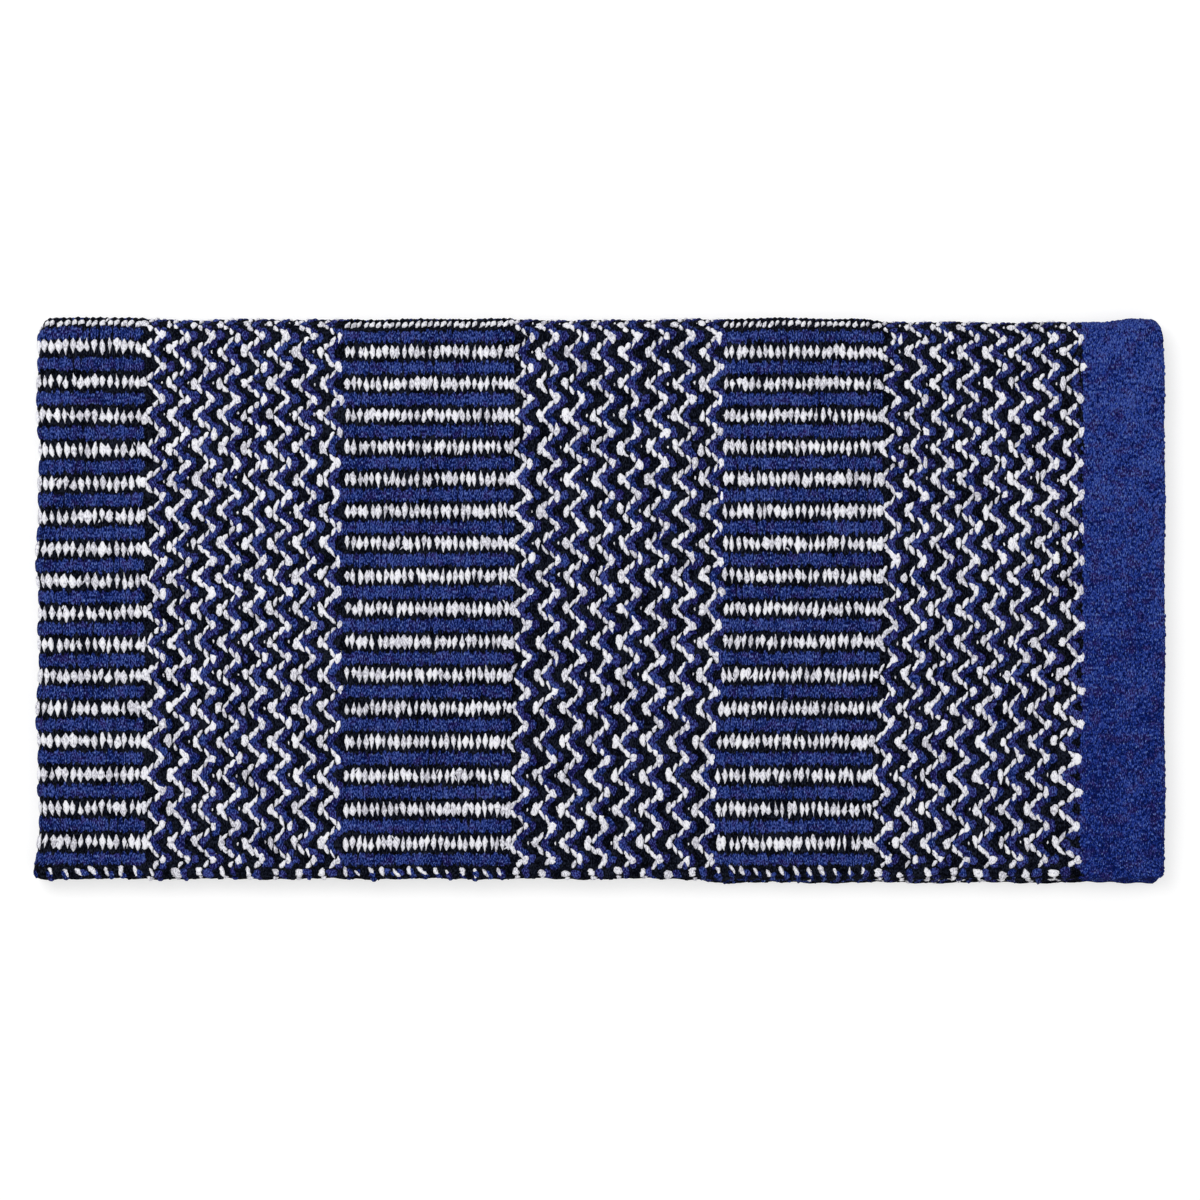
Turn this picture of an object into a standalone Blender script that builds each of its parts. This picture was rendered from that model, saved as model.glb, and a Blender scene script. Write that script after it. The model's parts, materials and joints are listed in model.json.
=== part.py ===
"""Woven saddle blanket, folded in quarters and lying flat.

The blanket is one thick double-woven wool cloth. It is folded crosswise at the middle of its
length, and the pair of layers is then folded lengthwise along the horse's spine line, so four
layers lie on each other. Each layer is modelled in the bands of its pattern, each band being the
set of weft yarns that are beaten in between two colour changes.

Frame: +X runs from the crosswise fold to the bordered end, +Y from the selvages to the spine
fold, +Z up from the surface that the blanket lies on. The origin is the middle of the underside.
Lengths are in metres.
"""

import math

import bmesh
import bpy
from mathutils import Vector

# Widths of the pattern's bands, from the crosswise fold to the bordered end
CENTRE_STRIPE_HALF_WIDTH = 0.0790
INNER_ZIGZAG_WIDTH = 0.1417
INNER_STRIPE_WIDTH = 0.1230
MIDDLE_ZIGZAG_WIDTH = 0.1496
OUTER_STRIPE_WIDTH = 0.1158
OUTER_ZIGZAG_WIDTH = 0.1446
END_BORDER_WIDTH = 0.0590

# The folded blanket across its bands, from the selvages to the outside of the spine fold
FOLDED_WIDTH = 0.4065

# The cloth
LAYER_THICKNESS = 0.0062
SELVAGE_WIDTH = 0.0105
END_CORNER_RADIUS = 0.0065
CLEARANCE = 0.0003

# The folds
FOLD_FLAT_RUN = 0.0020
SPINE_CORNER_DRAW = 0.0040
HINGE_REACH = 0.0080

# Facets of the curved pieces
FOLD_STEPS = 16
NOSE_ANGLES = tuple(math.radians(angle) for angle in (0, 28, 52, 70, 80))

# Colours of the yarns as they mix in each kind of band, linear RGB, and the wool's roughness
STRIPED_COLOUR = (0.120, 0.130, 0.240)
ZIGZAG_COLOUR = (0.100, 0.100, 0.190)
BORDER_COLOUR = (0.017, 0.028, 0.190)
SELVAGE_COLOUR = (0.080, 0.090, 0.160)
WOOL_ROUGHNESS = 0.9

BANDS = (
    ("centre_stripe", STRIPED_COLOUR, CENTRE_STRIPE_HALF_WIDTH),
    ("inner_zigzag", ZIGZAG_COLOUR, INNER_ZIGZAG_WIDTH),
    ("inner_stripe", STRIPED_COLOUR, INNER_STRIPE_WIDTH),
    ("middle_zigzag", ZIGZAG_COLOUR, MIDDLE_ZIGZAG_WIDTH),
    ("outer_stripe", STRIPED_COLOUR, OUTER_STRIPE_WIDTH),
    ("outer_zigzag", ZIGZAG_COLOUR, OUTER_ZIGZAG_WIDTH),
    ("end_border", BORDER_COLOUR, END_BORDER_WIDTH),
)
LEAVES = ("bottom_leaf", "third_leaf", "second_leaf", "top_leaf")

# Places worked out from the sizes above
FOLDED_LENGTH = sum(width for _, _, width in BANDS)
FOLD_X = -FOLDED_LENGTH / 2
END_X = FOLDED_LENGTH / 2
SELVAGE_Y = -FOLDED_WIDTH / 2
LAYER_PITCH = LAYER_THICKNESS + CLEARANCE
STACK_HEIGHT = len(LEAVES) * LAYER_PITCH - CLEARANCE
SPINE_Y = FOLDED_WIDTH / 2 - STACK_HEIGHT / 2
SPINE_Z = STACK_HEIGHT / 2

# Radii of the cloth's middle surface round the folds
INNER_FOLD_RADIUS = LAYER_PITCH / 2
OUTER_FOLD_RADIUS = INNER_FOLD_RADIUS + LAYER_PITCH

# The crosswise fold's middle, and where the flat leaves begin and end
CROSS_FOLD_X = FOLD_X + INNER_FOLD_RADIUS + LAYER_THICKNESS / 2
LEAF_START_X = CROSS_FOLD_X + FOLD_FLAT_RUN + CLEARANCE
LEAF_TOP_Y = SPINE_Y - FOLD_FLAT_RUN - CLEARANCE
LEAF_FOOT_Y = SELVAGE_Y + SELVAGE_WIDTH + CLEARANCE

# The line that the upper half turns about as the blanket opens
HINGE = Vector((0, SPINE_Y + HINGE_REACH, SPINE_Z))


def clear_scene():
    """Empties the scene of objects."""
    for scene_object in list(bpy.data.objects):
        bpy.data.objects.remove(scene_object, do_unlink=True)


def new_half(collection, name, place):
    """An empty that carries one half of the blanket."""
    half = bpy.data.objects.new(name, None)
    half.location = place
    collection.objects.link(half)
    return half


def wool(name, colour):
    """The plain finish of one piece of cloth."""
    material = bpy.data.materials.new(name)
    material.use_nodes = True
    shader = material.node_tree.nodes["Principled BSDF"]
    shader.inputs["Base Color"].default_value = (*colour, 1)
    shader.inputs["Roughness"].default_value = WOOL_ROUGHNESS
    shader.inputs["Metallic"].default_value = 0
    material.diffuse_color = (*colour, 1)
    return material


def woven_piece(half, name, colour, rows, fullness):
    """One piece of cloth, given its thickness by Solidify.

    rows holds rows of points on the cloth's middle surface, and fullness, in the same order, the
    share of the layer's thickness that the cloth has at each point.
    """
    row_steps, point_steps = len(rows) - 1, len(rows[0]) - 1
    origin = rows[0][0]
    grid = bmesh.new()
    bmesh.ops.create_grid(grid, x_segments=row_steps, y_segments=point_steps, size=1)
    weights = {}
    for vertex in grid.verts:
        row = round((vertex.co.x + 1) / 2 * row_steps)
        point = round((vertex.co.y + 1) / 2 * point_steps)
        vertex.co = rows[row][point] - origin
        weights[vertex.index] = fullness[row][point]
    mesh = bpy.data.meshes.new(name)
    grid.to_mesh(mesh)
    grid.free()
    mesh.materials.append(wool(name, colour))

    piece = bpy.data.objects.new(name, mesh)
    half.users_collection[0].objects.link(piece)
    piece.parent = half
    piece.location = origin - half.location
    group = piece.vertex_groups.new(name="fullness")
    for index, weight in weights.items():
        group.add([index], weight, "REPLACE")

    thickness = piece.modifiers.new("layer thickness", "SOLIDIFY")
    thickness.thickness = LAYER_THICKNESS
    thickness.offset = 0
    thickness.use_even_offset = True
    thickness.use_quality_normals = True
    thickness.vertex_group = group.name
    return piece


def nose(start, end):
    """Stations with their fullness, from full thickness to a rounded end."""
    reach = min(LAYER_THICKNESS / 2, abs(end - start))
    toward = math.copysign(reach, end - start)
    widest = math.sin(NOSE_ANGLES[-1])
    rounded = [
        (end - toward + toward * math.sin(angle) / widest, math.cos(angle))
        for angle in NOSE_ANGLES
    ]
    return [(start, 1), *rounded]


def half_turn(radius):
    """Points round a fold, as (out, up) from its middle, with a flat run at both ends."""
    turn = [math.pi * step / FOLD_STEPS for step in range(FOLD_STEPS + 1)]
    arc = [(radius * math.sin(angle), -radius * math.cos(angle)) for angle in turn]
    return [(-FOLD_FLAT_RUN, -radius), *arc, (-FOLD_FLAT_RUN, radius)]


def leaf_z(level):
    """Height of a leaf's middle surface, counted from the bottom leaf."""
    return LAYER_THICKNESS / 2 + level * LAYER_PITCH


def band_stations():
    """Each band's name, colour and stations along X, clear of its neighbours."""
    found = []
    start = FOLD_X
    for name, colour, width in BANDS:
        low = max(start + CLEARANCE / 2, LEAF_START_X)
        if name == BANDS[-1][0]:
            stations = nose(low, END_X)
        else:
            stations = [(low, 1), (start + width - CLEARANCE / 2, 1)]
        found.append((name, colour, stations))
        start += width
    return found


def build_leaf(half, leaf, level):
    """The bands of one flat leaf, and the selvage along its foot."""
    z = leaf_z(level)
    for band, colour, stations in band_stations():
        rows = [[Vector((x, y, z)) for y in (LEAF_FOOT_Y, LEAF_TOP_Y)] for x, _ in stations]
        fullness = [[share, share] for _, share in stations]
        woven_piece(half, f"{leaf}_{band}", colour, rows, fullness)
    build_selvage(half, leaf, z)


def corner_inset(x):
    """How far the selvage draws in where it rounds the end corner."""
    into = min(max(0, x - (END_X - END_CORNER_RADIUS)), END_CORNER_RADIUS)
    return END_CORNER_RADIUS - math.sqrt(END_CORNER_RADIUS**2 - into**2)


def build_selvage(half, leaf, z):
    """The thick turned edge of the wefts, rounded outside and at the end corner."""
    across = nose(SELVAGE_Y + SELVAGE_WIDTH, SELVAGE_Y)
    along = [(LEAF_START_X, 1), *nose(END_X - END_CORNER_RADIUS, END_X)]
    drawn_share = {y: (SELVAGE_Y + SELVAGE_WIDTH - y) / SELVAGE_WIDTH for y, _ in across}
    rows, fullness = [], []
    for x, end_share in along:
        rows.append([Vector((x, y + corner_inset(x) * drawn_share[y], z)) for y, _ in across])
        fullness.append([end_share * side_share for _, side_share in across])
    woven_piece(half, f"{leaf}_selvage", SELVAGE_COLOUR, rows, fullness)


def build_spine_fold(half, fold, radius):
    """The bands of one layer where it turns over the spine line."""
    profile = half_turn(radius)
    for band, colour, stations in band_stations():
        rows, fullness = [], []
        for x, share in stations:
            drawn = SPINE_CORNER_DRAW * (x - stations[0][0]) / (END_X - stations[0][0])
            drawn = drawn if band == BANDS[-1][0] else 0
            rows.append(
                [
                    Vector((x - drawn * max(0, out) / OUTER_FOLD_RADIUS, SPINE_Y + out, SPINE_Z + up))
                    for out, up in profile
                ]
            )
            fullness.append([share] * len(profile))
        woven_piece(half, f"{fold}_{band}", colour, rows, fullness)


def build_cross_fold(half, name, level):
    """The crosswise fold that joins two leaves of one half, level being the lower of them."""
    z = leaf_z(level) + INNER_FOLD_RADIUS
    profile = half_turn(INNER_FOLD_RADIUS)
    stations = nose(LEAF_TOP_Y, SELVAGE_Y)
    rows = [[Vector((CROSS_FOLD_X - out, y, z + up)) for out, up in profile] for y, _ in stations]
    fullness = [[share] * len(profile) for _, share in stations]
    woven_piece(half, name, STRIPED_COLOUR, rows, fullness)


def build_fold_corner(half, name):
    """The corner where the crosswise fold is itself turned over the spine line."""
    across = half_turn(INNER_FOLD_RADIUS)
    round_spine = half_turn(1)
    rows = []
    for turn_out, turn_up in round_spine:
        row = []
        for out, up in across:
            radius = LAYER_PITCH + up
            y = SPINE_Y + (radius * turn_out if turn_out >= 0 else turn_out)
            row.append(Vector((CROSS_FOLD_X - out, y, SPINE_Z + radius * turn_up)))
        rows.append(row)
    fullness = [[1] * len(across) for _ in rows]
    woven_piece(half, name, STRIPED_COLOUR, rows, fullness)


def build_blanket():
    """The whole blanket, its lower half and the upper half that opens about the spine line."""
    clear_scene()
    collection = bpy.data.collections.new("saddle_blanket")
    bpy.context.scene.collection.children.link(collection)
    lower = new_half(collection, "lower_half", Vector((0, 0, 0)))
    upper = new_half(collection, "upper_half", HINGE)

    for level, leaf in enumerate(LEAVES):
        build_leaf(lower if level < len(LEAVES) / 2 else upper, leaf, level)
    build_cross_fold(lower, "lower_cross_fold", LEAVES.index("bottom_leaf"))
    build_cross_fold(upper, "upper_cross_fold", LEAVES.index("second_leaf"))
    build_fold_corner(lower, "cross_fold_corner")
    build_spine_fold(lower, "inner_spine_fold", INNER_FOLD_RADIUS)
    build_spine_fold(lower, "outer_spine_fold", OUTER_FOLD_RADIUS)


build_blanket()
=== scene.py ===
"""Woven saddle blanket, folded in quarters and lying on a pale table.

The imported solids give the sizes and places. Over a dark ground cloth the weft yarns are laid one
float at a time, the way they show between the warps: rows of white and blue floats in the striped
bands, pointed twill lines in the zigzag bands, and a fine grain in the end borders. The wefts turn
back round the selvages, and the rows run on over both folds.

A place on the cloth is written as along, from the crosswise fold to the bordered end, across, from
the upper leaf's selvage over the spine fold to the lower leaf's, and height out of the cloth's face.
The outer side of the cloth shows while it is folded, the inner side when it is opened like a book.
Lengths are in metres.
"""

import json
import math
from typing import NamedTuple

import bmesh
import bpy
import numpy as np
from bpy.props import FloatProperty, FloatVectorProperty, PointerProperty
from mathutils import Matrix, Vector


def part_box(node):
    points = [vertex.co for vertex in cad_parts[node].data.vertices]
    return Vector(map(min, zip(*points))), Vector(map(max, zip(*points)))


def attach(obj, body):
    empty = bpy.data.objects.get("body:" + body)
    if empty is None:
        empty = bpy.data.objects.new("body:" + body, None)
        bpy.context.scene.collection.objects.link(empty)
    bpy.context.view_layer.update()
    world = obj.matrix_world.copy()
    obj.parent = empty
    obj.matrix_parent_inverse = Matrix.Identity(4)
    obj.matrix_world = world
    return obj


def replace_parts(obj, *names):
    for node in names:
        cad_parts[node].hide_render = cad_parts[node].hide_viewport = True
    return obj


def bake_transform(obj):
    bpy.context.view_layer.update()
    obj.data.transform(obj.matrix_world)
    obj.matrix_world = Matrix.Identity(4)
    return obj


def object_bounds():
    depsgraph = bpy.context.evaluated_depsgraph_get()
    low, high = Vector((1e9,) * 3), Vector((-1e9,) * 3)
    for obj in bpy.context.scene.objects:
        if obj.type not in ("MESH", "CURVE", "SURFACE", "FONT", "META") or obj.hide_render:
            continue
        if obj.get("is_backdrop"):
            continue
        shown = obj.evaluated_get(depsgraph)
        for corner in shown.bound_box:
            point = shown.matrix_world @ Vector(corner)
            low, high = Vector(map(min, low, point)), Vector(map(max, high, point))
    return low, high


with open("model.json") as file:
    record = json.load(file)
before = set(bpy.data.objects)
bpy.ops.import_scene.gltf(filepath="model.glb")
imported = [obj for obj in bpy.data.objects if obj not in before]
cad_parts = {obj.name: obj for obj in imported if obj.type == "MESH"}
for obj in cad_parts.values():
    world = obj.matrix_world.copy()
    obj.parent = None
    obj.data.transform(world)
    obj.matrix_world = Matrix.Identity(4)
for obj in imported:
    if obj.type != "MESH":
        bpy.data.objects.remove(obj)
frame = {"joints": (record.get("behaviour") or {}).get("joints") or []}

bl_info = {
    "name": "Woven Saddle Blanket",
    "version": (1, 0, 0),
    "blender": (4, 5, 0),
    "location": "View3D > Sidebar > Blanket",
    "description": "Weaves the yarns of a folded saddle blanket over its solids",
    "category": "Object",
}

COLLECTION = "saddle_blanket"


def span(node, axis):
    """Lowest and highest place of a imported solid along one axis."""
    low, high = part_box(node)
    return low[axis], high[axis]


# The folded stack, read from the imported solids
CAD_LOW, CAD_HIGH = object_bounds()
FOLD_X, END_X = CAD_LOW.x, CAD_HIGH.x
SELVAGE_Y = CAD_LOW.y
LENGTH = END_X - FOLD_X
LEAF_LOW, LEAF_HIGH = span("top_leaf_inner_stripe", 2)
CREASE_LOW = span("third_leaf_inner_stripe", 2)[1]
CREASE_HIGH = span("second_leaf_inner_stripe", 2)[0]
LAYER = LEAF_HIGH - LEAF_LOW
PITCH = LEAF_HIGH - span("second_leaf_inner_stripe", 2)[1]
CLEARANCE = PITCH - LAYER
EDGE_RADIUS = LAYER / 2
PAIR_RADIUS = (PITCH + LAYER) / 2
STACK_RADIUS = CAD_HIGH.z / 2
SPINE_Y, SPINE_Z = CAD_HIGH.y - STACK_RADIUS, STACK_RADIUS
FLAT_RUN = SPINE_Y - SELVAGE_Y

# The spine fold's hinge, and the low ridge that the opened cloth keeps over it
HINGE_Y = frame["joints"][0]["pos_m"][1]
RIDGE_RADIUS = HINGE_Y - SPINE_Y - PITCH + PAIR_RADIUS

# How deep the ground cloth lies under the yarns' crowns, and how far the yarns' feet reach into it
GROUND_DEPTH = 0.0015
FOOT_DEPTH = 0.0019
BACK_SKIN = 0.0002
CREST = -PAIR_RADIUS * (math.pi / 2 - 1)

OUTER, INNER = "outer", "inner"
SIDE_WIDTH = {
    OUTER: 2 * FLAT_RUN + math.pi * STACK_RADIUS,
    INNER: 2 * FLAT_RUN + math.pi * RIDGE_RADIUS,
}


class Band(NamedTuple):
    """A band of the pattern. clear is how far a zigzag band's last line keeps from the band's end."""

    name: str
    kind: str
    clear: float = 0


BANDS = (
    Band("centre_stripe", "stripe"),
    Band("inner_zigzag", "zigzag", 0.0030),
    Band("inner_stripe", "stripe"),
    Band("middle_zigzag", "zigzag", 0.0008),
    Band("outer_stripe", "stripe"),
    Band("outer_zigzag", "zigzag", 0.0012),
    Band("end_border", "border"),
)
LOWER, UPPER = "lower_half", "upper_half"
LEAVES = {LOWER: ("bottom_leaf", "third_leaf"), UPPER: ("second_leaf", "top_leaf")}


class Region(NamedTuple):
    """A stretch of one side of the cloth that moves in one way.

    detail picks its yarns' steps in YARNS, and lower is how much lower they lie than those on top.
    """

    name: str
    side: str
    bodies: tuple
    detail: int = 0
    lower: float = 0


CREASE = Region("crease", INNER, (LOWER, UPPER), 1, 0.0005)
REGIONS = (
    Region("top", OUTER, (UPPER,), 2),
    Region("spine", OUTER, (LOWER, UPPER), 2),
    Region("underside", OUTER, (LOWER,), 0, 0.0005),
    Region("opened_upper", INNER, (UPPER,), 1, 0.0005),
    CREASE,
    Region("opened_lower", INNER, (LOWER,), 1, 0.0005),
)

# Yarns: the record's material slot, the finish, and steps along and across a float at each level
# of detail
YARNS = {
    "white_stripes": ("white_yarn", "white_wool", ((5, 4), (6, 4), (8, 6))),
    "white_zigzags": ("white_yarn", "white_wool", ((5, 4), (6, 4), (7, 5))),
    "blue_stripes": ("blue_yarn", "blue_wool", ((4, 4), (5, 4), (6, 5))),
    "blue_zigzags": ("blue_yarn", "violet_wool", ((4, 4), (5, 4), (6, 5))),
    "black_stripes": ("black_yarn", "black_wool", ((4, 3), (4, 3), (5, 4))),
    "black_zigzags": ("black_yarn", "black_wool", ((4, 3), (4, 3), (5, 3))),
    "border_grain": ("border_yarn", "border_wool", ((3, 2), (4, 2), (4, 3))),
}


class Float(NamedTuple):
    """A float's size, its crown over the cloth's face, how pointed it is, and its lean in degrees."""

    length: float
    width: float
    crown: float = 0
    tip: float = 0.7
    lean: float = 0


# How far a float strays from its place and shape, and the least and the most pointed one
STRAY_ALONG, STRAY_ACROSS, STRAY_CROWN, STRAY_BOW = 0.00032, 0.00045, 0.00015, 0.0003
STRAY_SIZE, STRAY_LEAN = 0.09, 4
STRAY_TIP, LEAST_TIP, MOST_TIP = 0.10, 0.1, 1.1

# The stripes' floats. A white one's width is a share of the pitch, drawn by the odds, and the row
# over the spine leans. A black one lies to each side, lifted where the rows are pinched.
WHITE_FLOAT = Float(0.0118, 0, 0.00035, 1.05)
WHITE_WIDTHS, WHITE_ODDS = (0.77, 0.89, 0.98, 1.15), (0.2, 0.4, 0.28, 0.12)
SPINE_LEAN = 24
BLACK_FLOAT = Float(0.0086, 0.0046, -0.0006, 0.7, 6)
BLACK_SHIFT, BLACK_LIFT = 0.0064, 0.0030
BLUE_FLOAT = Float(0.0119, 0.0036)
BLUE_CROWNS, BLUE_LOOSE = (-0.0003, 0.0001), 1.2

# Short loose fibres: how many to a white float, and how far they lean and stray
HAIR = Float(0.0045, 0.0012, 0.0001, 0.8)
HAIR_SHARE, HAIR_LEAN, HAIR_STRAY = 0.10, 50, 0.004

# How far past a stripe's start its floats begin, and how far before its end they stop. By the
# crosswise fold they begin this far from its crest, and the white ones stand further apart.
WHITE_START, WHITE_STOP = 0.0008, 0.0030
BLUE_START, BLUE_STOP = -0.0016, 0.0018
CREST_CLEAR, CREST_PITCH_SHARE = 0.0018, 1.1

# A zigzag line's floats from its left kink to its right one: how far along, the share of a row
# down, and the float
WHITE_LINE = (
    (0.0000, 0.000, Float(0.0110, 0.0052, 0.00035, 0.75, 0)),
    (0.0041, 0.165, Float(0.0084, 0.0033, 0.00035, 0.75, 25)),
    (0.0089, 0.335, Float(0.0082, 0.0032, 0.00035, 0.75, 25)),
    (0.0131, 0.500, Float(0.0108, 0.0051, 0.00035, 0.75, 0)),
)
BLUE_LINE = (
    (0.0068, 0.000, Float(0.0094, 0.0062, -0.0001, 0.7, 0)),
    (0.0098, 0.190, Float(0.0080, 0.0056, -0.0001, 0.7, 18)),
    (0.0138, 0.325, Float(0.0080, 0.0056, -0.0001, 0.7, 18)),
    (0.0179, 0.500, Float(0.0106, 0.0062, -0.0001, 0.7, 0)),
)
BLACK_LINE = (
    (0.0119, 0.000, Float(0.0110, 0.0050, -0.0006, 0.5, 0)),
    (0.0143, 0.170, Float(0.0080, 0.0050, -0.0006, 0.5, 22)),
    (0.0182, 0.320, Float(0.0080, 0.0050, -0.0006, 0.5, 22)),
    (0.0226, 0.500, Float(0.0110, 0.0050, -0.0006, 0.5, 0)),
)
SECOND_BLACK = 0.0036
LINES, LINE_REACH, LINE_LOOSE = 8, 0.0131, 1.4

# White specks before the lines: how far along from the left kinks, and how many to a kink
SPECK = Float(0.0032, 0.0014, 0, 0.6)
SPECK_ALONG, SPECK_SHARE = (-0.0050, -0.0040), 0.5

# Where a zigzag band's yarns start, from its start: the first line, the blues and the blacks. By the
# border the blacks stop before its end. A left kink may lie this far past the end.
FIRST_LINE, LINE_BLUES, LINE_BLACKS = -0.0014, 0.001, -0.0035
BLACK_STOP, KINK_OVERRUN = 0.0030, 0.004

# The wefts' turns at a selvage: yarn, share of the way to the next turn, how far in from the edge,
# and the float
STRIPE_TURNS = (
    ("black", 0.50, 0.0050, Float(0.0130, 0.0072, -0.0001, 0.5, -8)),
    ("white", 0.00, 0.0060, Float(0.0100, 0.0031, 0.0003, 0.5, -24)),
    ("blue", 0.20, 0.0034, Float(0.0095, 0.0054, 0.0001, 0.5, -24)),
)
ZIGZAG_TURNS = (
    ("white", 0.00, 0.0046, Float(0.0090, 0.0056, 0.0002, 0.5, -14)),
    ("blue", 0.34, 0.0042, Float(0.0098, 0.0066, 0.0001, 0.5, -6)),
    ("black", 0.67, 0.0044, Float(0.0104, 0.0068, -0.0002, 0.5, -6)),
)
TURNS_START, TURN_STRAY, TURN_LEAN, TURN_LOOSE = -0.3, 0.0008, 12, 2

# All but a stripe's white turns go on round the edge: how far out and along, how long, up to how much
# higher, and the share of the turn's width. The white ones keep clear of the crosswise fold.
ROUND_OUT, ROUND_ALONG, ROUND_LENGTH = 0.0046, 0.0012, 0.0112
ROUND_CROWN, ROUND_WIDTH_SHARE = 0.0014, 0.9
WHITE_TURNS_START = 0.003

# The border's floats: where they start and how far they go on round the edges, how much lower every
# fourth column lies, their least and most crown, higher at the very end, and their shade
GRAIN_FLOAT = Float(0.0044, 0.0031, 0, 0.5)
GRAIN_START, GRAIN_ROUND, GRAIN_SUNK = 0.0008, 0.0050, -0.00018
GRAIN_LOW, GRAIN_HIGH, GRAIN_END_HIGH, GRAIN_END = -0.0003, 0.0001, 0.0007, 0.002
GRAIN_LEAN, GRAIN_LOOSE = 20, 1.6
SPINE_SHADE, SHADE_LOSS = 0.35, 0.75

# The rows of a leaf, their shift by the crosswise fold, which shrinks row by row and waves over this
# many rows, and where along the cloth the shift ends
LEAF_ROWS = 15.5
ROW_SHIFT, SHIFT_LOSS, ROW_WAVE, WAVE_ROWS = 0.0040, 0.00032, 0.0032, 17
SHIFT_RAMP = (0.045, 0.09)

# How much shorter the floats show beside the spine fold, over so many rows, and how much more in the
# row over it, within this share of a row. A white float's width shrinks less, by this much.
PINCH, PINCH_ROWS = 0.09, 4
SPINE_PINCH, SPINE_PINCH_ROWS = 0.25, 0.3
UNPINCHED_WIDTH = 0.15

# Where along the cloth the bands' lean at the selvage grows, how far into the border it ends, and
# over which rows it grows
LEAN_START, LEAN_GROWTH = 0.20, 0.40
LEAN_OVERRUN, LEAN_END = 0.006, 0.022
LEAN_RAMP = (7, 6.5)

# Waves along the stack's edges: size, radians to the metre, start, and shift from layer to layer
FOLD_WAVES = ((0.0009, 52, 0, 1), (0.0007, 117, 2, 1.7))
END_WAVES = ((0.0004, 61, 0, 1),)
SPINE_WAVES = ((0.0003, 97, 0, 0), (0.0003, 41, 1, 0))
SELVAGE_WAVES = ((0.0005, 83, 0, 1), (0.0005, 330, 0, 2))

# How far the stack's edges stand out or are drawn in, and how far in from them the cloth follows. A
# ramp says where such a shift starts and over what width it grows.
FOLD_OUT, FOOT_OUT, FOOT_RAMP = 0.0004, 0.0030, (0.008, 0.009)
END_DRAWN, END_RAMP, END_REACH = 0.0016, (0.35, 0.05), 0.05
SELVAGE_DRAWN, SELVAGE_REACH = 0.0026, 0.022

# The spine's edge stands out in two humps, given by share, middle and width, and dips after them
SPINE_OUT, HUMP, DIP = 0.0004, 0.0014, 0.0018
HUMPS = ((1, 0.052, 0.032), (0.7, 0.545, 0.035))
DIP_RAMP, RISE_RAMP, SPINE_RAMP = (0.590, 0.02), (0.770, 0.02), (0.375, 0.03)

# Toward the border the selvages of the lower layers, below this level, stand out
STEP_OUT, STEP_RAMP, STEP_LEVEL, STEP_EASE = 0.0038, (0.472, 0.02), 2.6, 0.4

# How far a float's belly lies off its middle, usually and at most, how high its long edges stand, and
# how felt roughens it. The spine's regions reach a margin onto the leaves.
UNEVEN, MOST_UNEVEN, EDGE_RISE = 0.2, 0.45, 0.05
FELT_WIDTH, FELT_HEIGHT = 0.2, 0.035
REGION_MARGIN = 0.001

# The ground's steps, and its swell: height, and radians to the metre
GROUND_STEP = 0.004
WARP_SWELL, WARP_RATE = 0.00012, 1590
WEFT_SWELL, WEFT_RATE, WEFT_SLANT = 0.0001, 1300, 90

# The lamps' places and sizes, where the camera stands, the table's colour for the light that it
# throws on the blanket, and its colour and glow for the camera
KEY_LAMP = ((-0.75, 0.85, 2.2), 1.3)
FILL_LAMP = ((0.9, -0.7, 2.3), 1.6)
CAMERA_PLACE = (-0.0006, 0.0004)
TABLE_LIT, TABLE_SEEN, TABLE_GLOW = (0.80, 0.80, 0.80, 1), (0.52, 0.52, 0.52, 1), (0.56, 0.56, 0.56, 1)

# The stack's rounded corners: place, size and the way out along X and Y
CORNERS = (
    ((END_X, CAD_HIGH.y), (0.0090, 0.0150), (1, 1)),
    ((END_X, SELVAGE_Y), (0.0070, 0.0115), (1, -1)),
    ((FOLD_X, CAD_HIGH.y), (0.0090, 0.0170), (-1, 1)),
)


def ease(share):
    """A share from 0 to 1, eased in and out."""
    share = np.clip(share, 0, 1)
    return share * share * (3 - 2 * share)


def uneased(share):
    """The share that ease() turns into this one."""
    return 0.5 - np.sin(np.arcsin(1 - 2 * np.clip(share, 0, 1)) / 3)


def ramp(place_at, start, width):
    """A share that eases from 0 at start to 1 over a width."""
    return ease((place_at - start) / width)


def waves(place_at, level, terms):
    """Small waves along an edge, added up."""
    return sum(size * np.sin(place_at * rate + start + shift * level) for size, rate, start, shift in terms)


def band_spans():
    """Each band with where it starts and ends along the cloth."""
    starts = [0.0] + [span(f"top_leaf_{band.name}", 0)[0] - CLEARANCE / 2 - FOLD_X for band in BANDS[1:]]
    return list(zip(BANDS, starts, starts[1:] + [LENGTH]))


def rounded_corner(x, y, corner, sizes, way):
    """Draws a corner of the stack in to a quarter of an ellipse, seen from above."""
    into_x = np.clip(1 + (x - corner[0]) * way[0] / sizes[0], 0, 1.5)
    into_y = np.clip(1 + (y - corner[1]) * way[1] / sizes[1], 0, 1.5)
    pull_x = into_x * (np.sqrt(1 - np.minimum(into_y, 1) ** 2 / 2) - 1)
    pull_y = into_y * (np.sqrt(1 - np.minimum(into_x, 1) ** 2 / 2) - 1)
    return x + way[0] * sizes[0] * pull_x, y + way[1] * sizes[1] * pull_y


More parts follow.
